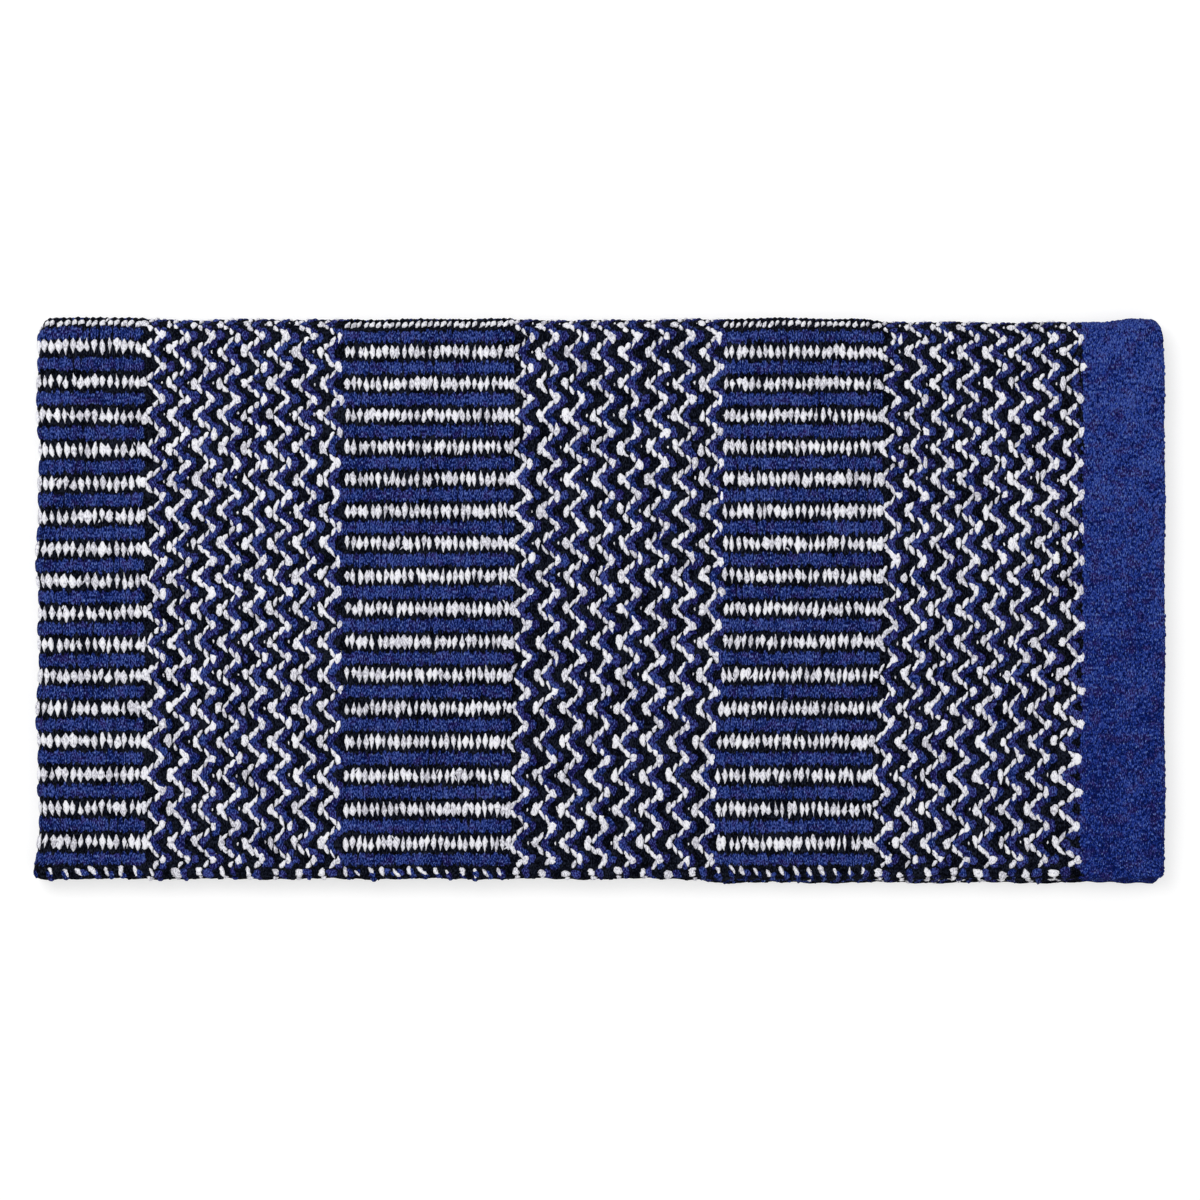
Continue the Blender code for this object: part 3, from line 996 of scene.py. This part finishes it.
def finish(name):
    """The finish of that name, made once from the user's colours."""
    made = bpy.data.materials.get(name)
    if made:
        return made
    look = FINISHES[name]
    colours = bpy.context.scene.blanket_colours
    groups = bpy.data.node_groups
    material = bpy.data.materials.new(name)
    material.use_nodes = True
    tree = material.node_tree
    strands = add_node(tree, "Group", node_tree=groups.get("Wool strands") or strand_group()).outputs
    inputs = {colour_input: (*getattr(colours, colour), 1) for colour_input, colour in zip(DYES_AND_LIGHT, look.colours)}
    inputs |= {"Stray Share": look.stray_share, "Flank": look.flank_shade, "Grain": look.grain}
    inputs["Strand"] = strands["Strand"]
    dyed_and_lit = add_node(tree, "Group", inputs, node_tree=groups.get("Dyed wool") or dye_and_light_group()).outputs
    colour = dyed_and_lit["Color"]
    if name == "ground_wool":
        colour = border_on(tree, colour, colours.border_deep)
    relief = add_node(tree, "Bump", {"Height": strands["Height"], "Distance": 0.0005}).outputs[0]
    inputs = {"Base Color": colour, "Roughness": dyed_and_lit["Roughness"], "Normal": relief}
    inputs |= {"Specular IOR Level": look.shine, "Sheen Weight": look.shine, "Sheen Roughness": 0.5}
    set_inputs(tree, tree.nodes["Principled BSDF"], inputs)
    return material


# What a user can change


def length_property(name, description, default):
    """A length that a user can change."""
    return FloatProperty(name=name, description=description, default=default, unit="LENGTH")


class BlanketWeave(bpy.types.PropertyGroup):
    """Sizes of the weave."""

    row_pitch: length_property("Row pitch", "From one white row to the next", 0.0236)
    first_row: length_property("First row", "From the selvage to row 0", 0.3822)
    row_bow: length_property("Row bow", "How far the rows bow on the shown leaf", 0.0040)
    spine_draw: length_property("Spine draw", "How far the spine fold draws a row in", 0.0020)
    edge_clear: length_property("Edge clearance", "Width of the turned selvage", 0.0125)
    zigzag_clear: length_property("Zigzag clearance", "The turned selvage at a zigzag", 0.0095)
    white_pitch: length_property("White pitch", "From one white float to the next", 0.0046)
    blue_pitch: length_property("Blue pitch", "From one blue float to the next", 0.0018)
    grain_pitch: length_property("Border pitch", "From one border weft to the next", 0.0017)
    grain_length: length_property("Border grain", "From one border float to the next", 0.0025)
    stripe_turn_pitch: length_property("Stripe turns", "Pitch of the selvage turns at a stripe", 0.0093)
    zigzag_turn_pitch: length_property("Zigzag turns", "Pitch of the selvage turns at a zigzag", 0.0186)
    foot_lean: length_property("Foot lean", "How far the outer bands lean at the selvage", 0.0074)


def colour_property(name, description, default):
    """A colour that a user can change."""
    return FloatVectorProperty(
        name=name, description=description, default=default, subtype="COLOR", size=3, min=0, max=1
    )


class BlanketColours(bpy.types.PropertyGroup):
    """Colours of the yarns."""

    pale: colour_property("Pale", "Where the undyed fibres catch the light", (0.98, 0.98, 1.00))
    white: colour_property("White", "Undyed yarn", (0.90, 0.90, 0.97))
    # Grey is the undyed yarn's darkest tone and the painted shade down its floats' flanks.
    grey: colour_property("Grey", "Undyed yarn deep between the floats", (0.43, 0.42, 0.48))
    bright_blue: colour_property("Bright blue", "Where its fibres catch the light", (0.056, 0.090, 0.33))
    blue: colour_property("Blue", "Blue yarn of the pattern", (0.0078, 0.026, 0.170))
    purple: colour_property("Purple", "Blue yarn that leans to purple", (0.028, 0.0155, 0.120))
    # Navy is the blue yarn's darkest tone and the painted shade down its floats' flanks.
    navy: colour_property("Navy", "Blue yarn deep between the floats", (0.0010, 0.0034, 0.042))
    sky: colour_property("Sky", "Stray fibres in the blue yarn", (0.20, 0.30, 0.50))
    border_bright: colour_property("Border light", "Where its fibres catch the light", (0.060, 0.105, 0.39))
    border: colour_property("Border", "Blue yarn of the border", (0.0118, 0.036, 0.260))
    # Border deep is the border yarn's darkest tone, the painted shade down its floats' flanks, and the
    # ground's colour under the border.
    border_deep: colour_property("Border deep", "Blue yarn deep in the border", (0.0012, 0.0065, 0.080))
    charcoal: colour_property("Charcoal", "Where the black fibres catch the light", (0.015, 0.018, 0.030))
    black: colour_property("Black", "Black yarn", (0.0030, 0.0038, 0.0085))
    # Jet is the black yarn's darkest tone and the painted shade down its floats' flanks.
    jet: colour_property("Jet", "Black yarn deep between the floats", (0.0004, 0.0006, 0.0018))


class BlanketStage(bpy.types.PropertyGroup):
    """The table, the lamps and the camera."""

    camera_height: length_property("Camera height", "Over the top of the stack", 2.398)
    lens: FloatProperty(name="Lens", description="Focal length of the camera", default=100, unit="CAMERA")
    room_light: FloatProperty(name="Room light", description="Strength of the even light", default=0.5, min=0)
    key_light: FloatProperty(name="Key light", description="Main lamp's power", default=29, unit="POWER")
    fill_light: FloatProperty(name="Fill light", description="Other lamp's power", default=11, unit="POWER")


# Operators


class BLANKET_OT_ground(bpy.types.Operator):
    """Makes the ground cloth of both halves, of the spine fold's layers and of the crease"""

    bl_idname = "blanket.ground"
    bl_label = "Ground cloth"

    def execute(self, context):
        for half in LEAVES:
            ground_half(half)
        for layer, side in (("outer_spine_fold", OUTER), ("inner_spine_fold", INNER)):
            hang(ground_spine(layer, side), Region(layer, side, (LOWER, UPPER)))
        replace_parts(bpy.data.objects["outer_spine_fold_ground"], "cross_fold_corner")
        hang(ground_crease(), CREASE)
        return {"FINISHED"}


class BLANKET_OT_yarns(bpy.types.Operator):
    """Lays the striped, zigzag and border floats and the selvage turns on both sides of the cloth"""

    bl_idname = "blanket.yarns"
    bl_label = "Yarns"

    def execute(self, context):
        sizes = context.scene.blanket_weave
        for seed, side in enumerate((OUTER, INNER)):
            loom = Loom(side, seed + 11)
            for band, start, end in band_spans():
                if band.kind == "border":
                    lay_border(loom, sizes, start)
                    continue
                if band.kind == "stripe":
                    lay_stripes(loom, sizes, start, end)
                else:
                    lay_zigzags(loom, sizes, start, end, band.clear)
                lay_turns(loom, sizes, band.kind, start, end)
            for region in REGIONS:
                if region.side == side:
                    for yarn in YARNS:
                        weave(sizes, region, yarn, loom.gathered(yarn, *region_span(region)))
        return {"FINISHED"}


class BLANKET_OT_cloth(bpy.types.Operator):
    """Gathers the yarn pieces of each half of the cloth and of the spine"""

    bl_idname = "blanket.cloth"
    bl_label = "Cloth sizes"

    def execute(self, context):
        yarns = {body: [] for body in (*LEAVES, "spine")}
        for region in REGIONS:
            body = region.bodies[0] if len(region.bodies) == 1 else "spine"
            names = [f"{region.name}_{yarn}" for yarn in YARNS]
            yarns[body] += [bpy.data.objects[name] for name in names if name in bpy.data.objects]
        return {"FINISHED"}


class BLANKET_OT_stage(bpy.types.Operator):
    """Sets up the pale table, the soft lamps and the camera that looks straight down"""

    bl_idname = "blanket.stage"
    bl_label = "Table, lamps and camera"

    def execute(self, context):
        scene = context.scene
        stage = scene.blanket_stage
        grid = bmesh.new()
        bmesh.ops.create_grid(grid, x_segments=8, y_segments=8, size=20)
        mesh = bpy.data.meshes.new("table")
        grid.to_mesh(mesh)
        grid.free()
        table = bpy.data.objects.new("table", mesh)
        scene.collection.objects.link(table)
        table.location.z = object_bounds()[0].z
        mesh.materials.append(table_finish())
        table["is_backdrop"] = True

        scene.world = bpy.data.worlds.new("room")
        scene.world.use_nodes = True
        sky = scene.world.node_tree.nodes["Background"]
        sky.inputs["Color"].default_value = (1, 1, 1, 1)
        sky.inputs["Strength"].default_value = stage.room_light
        add_lamp(scene, "key", *KEY_LAMP, stage.key_light)
        add_lamp(scene, "fill", *FILL_LAMP, stage.fill_light)

        camera = bpy.data.objects.new("camera", bpy.data.cameras.new("camera"))
        camera.data.lens = stage.lens
        camera.location = (*CAMERA_PLACE, CAD_HIGH.z + stage.camera_height)
        scene.collection.objects.link(camera)
        scene.camera = camera
        scene.view_settings.view_transform = "Standard"
        return {"FINISHED"}


def add_lamp(scene, name, place_at, size, power):
    """A square soft lamp that faces the middle of the blanket."""
    lamp = bpy.data.objects.new(name, bpy.data.lights.new(name, "AREA"))
    lamp.data.size = size
    lamp.data.energy = power
    lamp.location = place_at
    lamp.rotation_euler = (-Vector(place_at)).to_track_quat("-Z", "Y").to_euler()
    scene.collection.objects.link(lamp)


def table_finish():
    """A pale table that reads white to the camera and keeps the blanket's shadow."""
    material = bpy.data.materials.new("table_finish")
    material.use_nodes = True
    tree = material.node_tree
    rays = add_node(tree, "LightPath").outputs
    seen = maths(tree, "MAXIMUM", rays["Is Camera Ray"], rays["Is Glossy Ray"])
    seen = maths(tree, "MAXIMUM", seen, rays["Is Transmission Ray"])
    colour = blended(tree, seen, TABLE_LIT, TABLE_SEEN)
    glow = blended(tree, seen, (0, 0, 0, 1), TABLE_GLOW)
    inputs = {"Base Color": colour, "Roughness": 0.9, "Specular IOR Level": 0.1}
    inputs |= {"Emission Color": glow, "Emission Strength": 1}
    set_inputs(tree, tree.nodes["Principled BSDF"], inputs)
    return material


class BLANKET_PT_panel(bpy.types.Panel):
    """Lists the blanket's operators and what a user can change"""

    bl_label = "Saddle Blanket"
    bl_idname = "BLANKET_PT_panel"
    bl_space_type = "VIEW_3D"
    bl_region_type = "UI"
    bl_category = "Blanket"

    def draw(self, context):
        for operator in OPERATORS:
            self.layout.operator(operator.bl_idname)
        for group in (getattr(context.scene, name) for name in GROUPS):
            box = self.layout.box()
            for name in group.__annotations__:
                box.prop(group, name)


GROUPS = {"blanket_weave": BlanketWeave, "blanket_colours": BlanketColours, "blanket_stage": BlanketStage}
OPERATORS = (BLANKET_OT_ground, BLANKET_OT_yarns, BLANKET_OT_cloth, BLANKET_OT_stage)


def register():
    for made in (*GROUPS.values(), *OPERATORS, BLANKET_PT_panel):
        bpy.utils.register_class(made)
    for name, group in GROUPS.items():
        setattr(bpy.types.Scene, name, PointerProperty(type=group))


def unregister():
    for name in GROUPS:
        delattr(bpy.types.Scene, name)
    for made in reversed((*GROUPS.values(), *OPERATORS, BLANKET_PT_panel)):
        bpy.utils.unregister_class(made)


def main():
    """Makes the blanket and its stage."""
    register()
    bpy.ops.blanket.ground()
    bpy.ops.blanket.yarns()
    bpy.ops.blanket.cloth()
    bpy.ops.blanket.stage()


if __name__ == "__main__":
    main()
